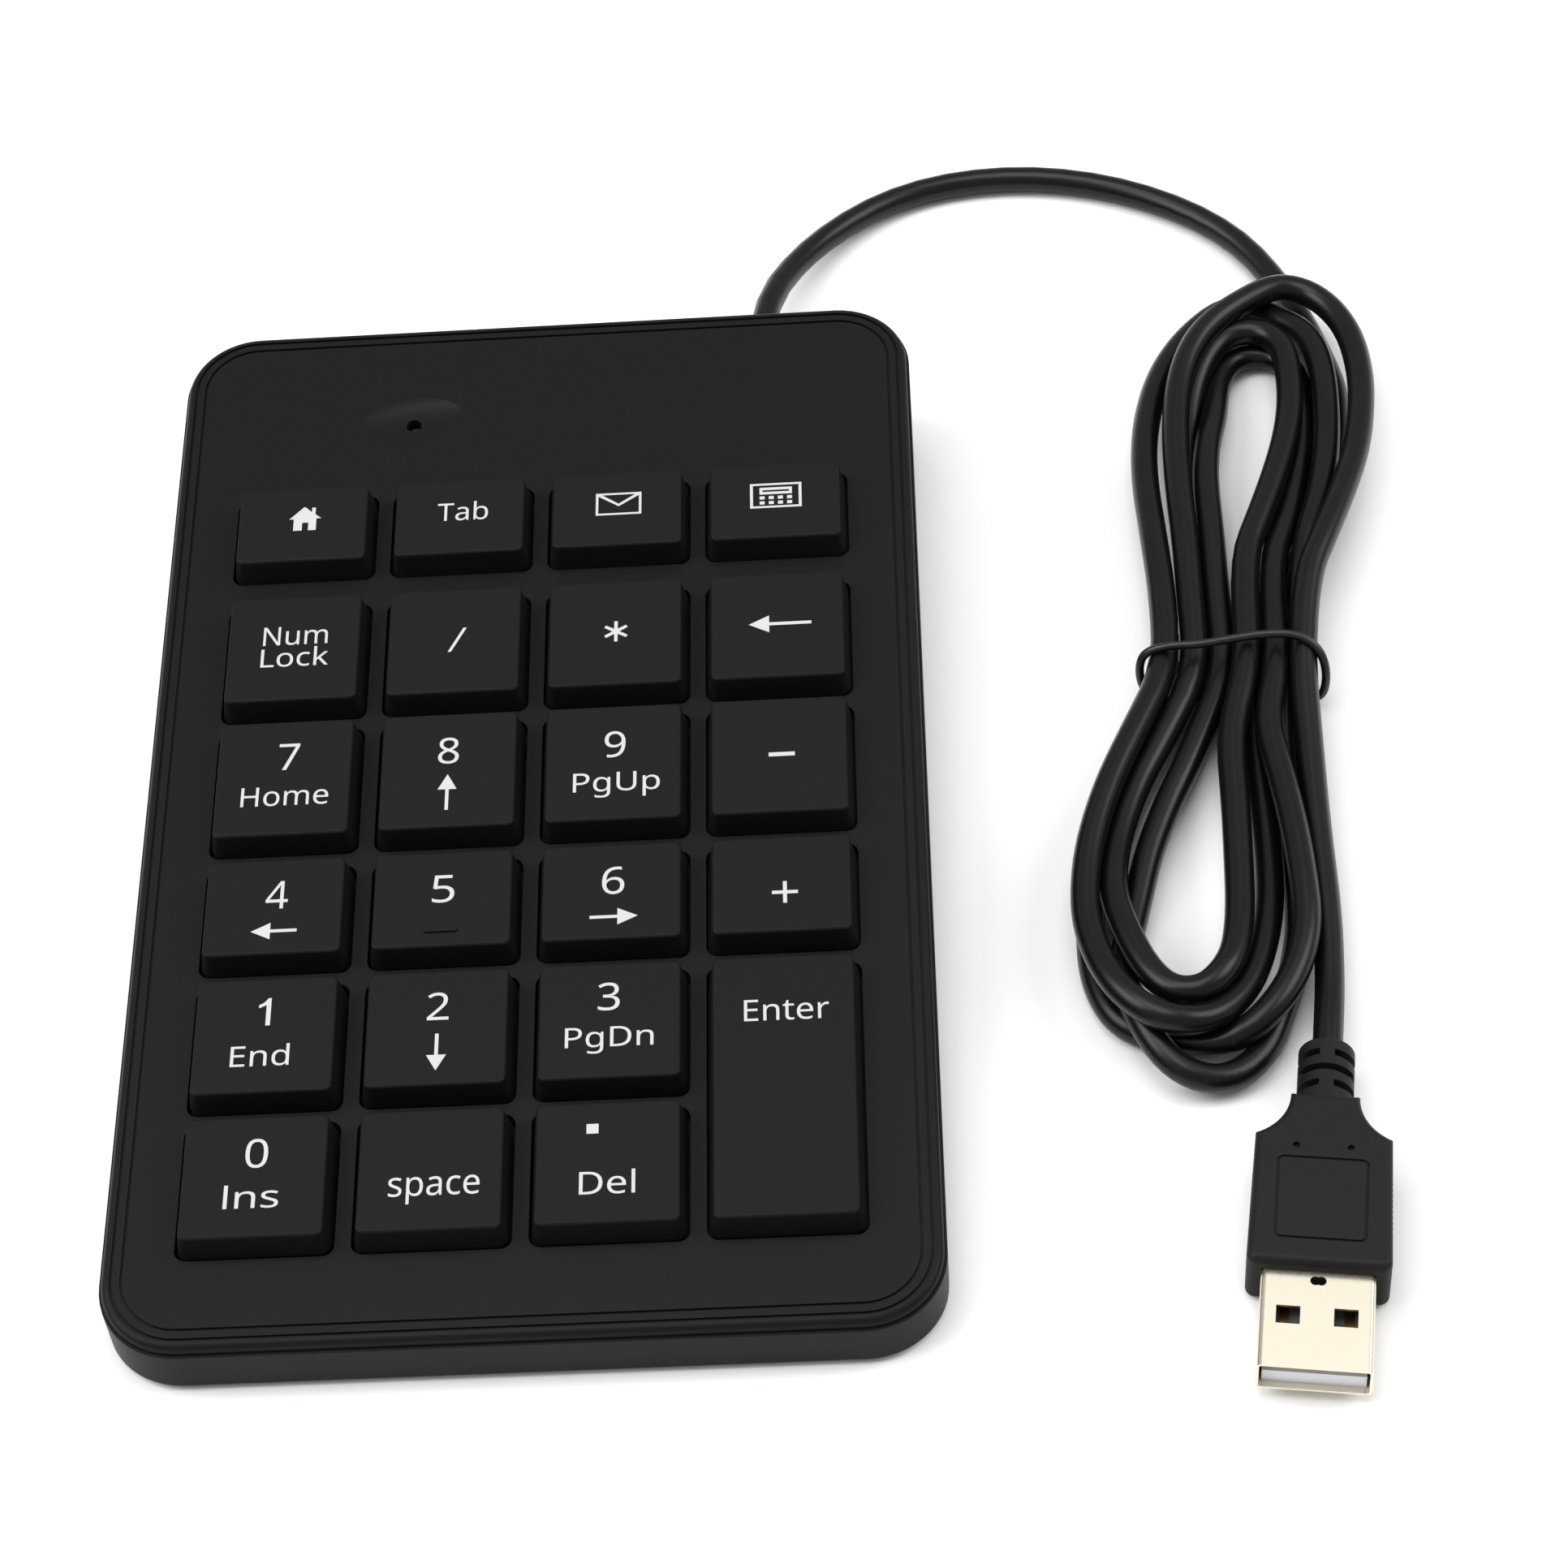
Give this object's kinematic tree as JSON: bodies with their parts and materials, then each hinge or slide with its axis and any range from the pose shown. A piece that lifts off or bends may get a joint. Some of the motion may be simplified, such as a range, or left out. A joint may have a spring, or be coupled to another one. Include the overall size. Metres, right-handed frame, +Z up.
{
  "type": "numeric keypad",
  "caption": "Slim wired numeric keypad with a sloping deck, square flat keys, a tall enter key and a thin cable folded into a tied hank with a plug.",
  "frame": {"origin": "on the table, under the middle of the case's outline", "axes": "+X to the user's right, +Y away from the user towards the cable's exit, +Z up"},
  "size_m": [0.1495, 0.1944, 0.02],
  "materials": {
    "case_plastic": "moulded ABS, fine texture",
    "key_plastic": "moulded ABS, fine texture, printed legends",
    "wire_steel": "drawn spring steel wire",
    "foot_rubber": "matte",
    "screw_steel": "zinc plated",
    "silicone": "translucent moulded silicone",
    "film": "clear polyester film",
    "plate_steel": "galvanised sheet",
    "board": "green solder mask on glass-filled board",
    "bar_plastic": "moulded",
    "led_resin": "clear epoxy",
    "board_resin": "black potting resin",
    "can_metal": "drawn can",
    "chip_parts": "ceramic chips",
    "socket_plastic": "white nylon",
    "wire_jacket": "insulated leads",
    "boot_rubber": "matte",
    "cable_jacket": "satin PVC jacket",
    "tie_plastic": "plastic-covered twist tie",
    "plug_plastic": "moulded PVC, fine texture",
    "shell_metal": "nickel plated drawn shell",
    "tongue_plastic": "white moulded",
    "contact_gold": "gold flashed contacts"
  },
  "bodies": {
    "case": {"backing_plate": "plate_steel", "bottom_case": "case_plastic", "cable_boot": "boot_rubber", "cable_end": "cable_jacket", "cable_hank": "cable_jacket", "cable_lead": "cable_jacket", "cable_tie": "tie_plastic", "capacitors": "chip_parts", "case_screws": "screw_steel", "circuit_board": "board", "clamp_screws": "screw_steel", "controller_blob": "board_resin", "crystal": "can_metal", "dome_sheet": "silicone", "lead_socket": "socket_plastic", "lead_wires": "wire_jacket", "membrane_bottom": "film", "membrane_clamp_bar": "bar_plastic", "membrane_spacer": "film", "membrane_top": "film", "plug_contacts": "contact_gold", "plug_overmould": "plug_plastic", "plug_shell": "shell_metal", "plug_tongue": "tongue_plastic", "resistors": "chip_parts", "rubber_feet": "foot_rubber", "status_led": "led_resin", "top_case": "case_plastic"},
    "key_0_cap": {"key_0": "key_plastic"},
    "key_space_cap": {"key_space": "key_plastic"},
    "key_decimal_cap": {"key_decimal": "key_plastic"},
    "key_1_cap": {"key_1": "key_plastic"},
    "key_2_cap": {"key_2": "key_plastic"},
    "key_3_cap": {"key_3": "key_plastic"},
    "key_4_cap": {"key_4": "key_plastic"},
    "key_5_cap": {"key_5": "key_plastic"},
    "key_6_cap": {"key_6": "key_plastic"},
    "key_plus_cap": {"key_plus": "key_plastic"},
    "key_7_cap": {"key_7": "key_plastic"},
    "key_8_cap": {"key_8": "key_plastic"},
    "key_9_cap": {"key_9": "key_plastic"},
    "key_minus_cap": {"key_minus": "key_plastic"},
    "key_num_lock_cap": {"key_num_lock": "key_plastic"},
    "key_divide_cap": {"key_divide": "key_plastic"},
    "key_multiply_cap": {"key_multiply": "key_plastic"},
    "key_backspace_cap": {"key_backspace": "key_plastic"},
    "key_home_cap": {"key_home": "key_plastic"},
    "key_tab_cap": {"key_tab": "key_plastic"},
    "key_mail_cap": {"key_mail": "key_plastic"},
    "key_calculator_cap": {"key_calculator": "key_plastic"},
    "key_enter_cap": {"key_enter": "key_plastic"},
    "enter_wire": {"enter_level_wire": "wire_steel"}
  },
  "joints": [
    {"name": "key_0_press", "type": "slide", "parent": "case", "child": "key_0_cap", "axis": [0, 0.0819, -0.9966], "range_m": [0, 0.002], "stiffness_N_per_m": 110, "springref_m": -0.003, "deforming": ["dome_sheet"]},
    {"name": "key_space_press", "type": "slide", "parent": "case", "child": "key_space_cap", "axis": [0, 0.0819, -0.9966], "range_m": [0, 0.002], "stiffness_N_per_m": 110, "springref_m": -0.003, "deforming": ["dome_sheet"]},
    {"name": "key_decimal_press", "type": "slide", "parent": "case", "child": "key_decimal_cap", "axis": [0, 0.0819, -0.9966], "range_m": [0, 0.002], "stiffness_N_per_m": 110, "springref_m": -0.003, "deforming": ["dome_sheet"]},
    {"name": "key_1_press", "type": "slide", "parent": "case", "child": "key_1_cap", "axis": [0, 0.0819, -0.9966], "range_m": [0, 0.002], "stiffness_N_per_m": 110, "springref_m": -0.003, "deforming": ["dome_sheet"]},
    {"name": "key_2_press", "type": "slide", "parent": "case", "child": "key_2_cap", "axis": [0, 0.0819, -0.9966], "range_m": [0, 0.002], "stiffness_N_per_m": 110, "springref_m": -0.003, "deforming": ["dome_sheet"]},
    {"name": "key_3_press", "type": "slide", "parent": "case", "child": "key_3_cap", "axis": [0, 0.0819, -0.9966], "range_m": [0, 0.002], "stiffness_N_per_m": 110, "springref_m": -0.003, "deforming": ["dome_sheet"]},
    {"name": "key_4_press", "type": "slide", "parent": "case", "child": "key_4_cap", "axis": [0, 0.0819, -0.9966], "range_m": [0, 0.002], "stiffness_N_per_m": 110, "springref_m": -0.003, "deforming": ["dome_sheet"]},
    {"name": "key_5_press", "type": "slide", "parent": "case", "child": "key_5_cap", "axis": [0, 0.0819, -0.9966], "range_m": [0, 0.002], "stiffness_N_per_m": 110, "springref_m": -0.003, "deforming": ["dome_sheet"]},
    {"name": "key_6_press", "type": "slide", "parent": "case", "child": "key_6_cap", "axis": [0, 0.0819, -0.9966], "range_m": [0, 0.002], "stiffness_N_per_m": 110, "springref_m": -0.003, "deforming": ["dome_sheet"]},
    {"name": "key_plus_press", "type": "slide", "parent": "case", "child": "key_plus_cap", "axis": [0, 0.0819, -0.9966], "range_m": [0, 0.002], "stiffness_N_per_m": 110, "springref_m": -0.003, "deforming": ["dome_sheet"]},
    {"name": "key_7_press", "type": "slide", "parent": "case", "child": "key_7_cap", "axis": [0, 0.0819, -0.9966], "range_m": [0, 0.002], "stiffness_N_per_m": 110, "springref_m": -0.003, "deforming": ["dome_sheet"]},
    {"name": "key_8_press", "type": "slide", "parent": "case", "child": "key_8_cap", "axis": [0, 0.0819, -0.9966], "range_m": [0, 0.002], "stiffness_N_per_m": 110, "springref_m": -0.003, "deforming": ["dome_sheet"]},
    {"name": "key_9_press", "type": "slide", "parent": "case", "child": "key_9_cap", "axis": [0, 0.0819, -0.9966], "range_m": [0, 0.002], "stiffness_N_per_m": 110, "springref_m": -0.003, "deforming": ["dome_sheet"]},
    {"name": "key_minus_press", "type": "slide", "parent": "case", "child": "key_minus_cap", "axis": [0, 0.0819, -0.9966], "range_m": [0, 0.002], "stiffness_N_per_m": 110, "springref_m": -0.003, "deforming": ["dome_sheet"]},
    {"name": "key_num_lock_press", "type": "slide", "parent": "case", "child": "key_num_lock_cap", "axis": [0, 0.0819, -0.9966], "range_m": [0, 0.002], "stiffness_N_per_m": 110, "springref_m": -0.003, "deforming": ["dome_sheet"]},
    {"name": "key_divide_press", "type": "slide", "parent": "case", "child": "key_divide_cap", "axis": [0, 0.0819, -0.9966], "range_m": [0, 0.002], "stiffness_N_per_m": 110, "springref_m": -0.003, "deforming": ["dome_sheet"]},
    {"name": "key_multiply_press", "type": "slide", "parent": "case", "child": "key_multiply_cap", "axis": [0, 0.0819, -0.9966], "range_m": [0, 0.002], "stiffness_N_per_m": 110, "springref_m": -0.003, "deforming": ["dome_sheet"]},
    {"name": "key_backspace_press", "type": "slide", "parent": "case", "child": "key_backspace_cap", "axis": [0, 0.0819, -0.9966], "range_m": [0, 0.002], "stiffness_N_per_m": 110, "springref_m": -0.003, "deforming": ["dome_sheet"]},
    {"name": "key_home_press", "type": "slide", "parent": "case", "child": "key_home_cap", "axis": [0, 0.0819, -0.9966], "range_m": [0, 0.002], "stiffness_N_per_m": 110, "springref_m": -0.003, "deforming": ["dome_sheet"]},
    {"name": "key_tab_press", "type": "slide", "parent": "case", "child": "key_tab_cap", "axis": [0, 0.0819, -0.9966], "range_m": [0, 0.002], "stiffness_N_per_m": 110, "springref_m": -0.003, "deforming": ["dome_sheet"]},
    {"name": "key_mail_press", "type": "slide", "parent": "case", "child": "key_mail_cap", "axis": [0, 0.0819, -0.9966], "range_m": [0, 0.002], "stiffness_N_per_m": 110, "springref_m": -0.003, "deforming": ["dome_sheet"]},
    {"name": "key_calculator_press", "type": "slide", "parent": "case", "child": "key_calculator_cap", "axis": [0, 0.0819, -0.9966], "range_m": [0, 0.002], "stiffness_N_per_m": 110, "springref_m": -0.003, "deforming": ["dome_sheet"]},
    {"name": "key_enter_press", "type": "slide", "parent": "case", "child": "key_enter_cap", "axis": [0, 0.0819, -0.9966], "range_m": [0, 0.002], "stiffness_N_per_m": 110, "springref_m": -0.003, "deforming": ["dome_sheet"]},
    {"name": "enter_wire_swing", "type": "hinge", "parent": "case", "child": "enter_wire", "pos_m": [0.02424, -0.04353, 0.00891], "axis": [0, 0.9966, 0.0819], "range_deg": [0, 14.4]}
  ],
  "couplings": [
    {"joint": "enter_wire_swing", "follows": "key_enter_press", "rad_per_m": 125.33}
  ]
}
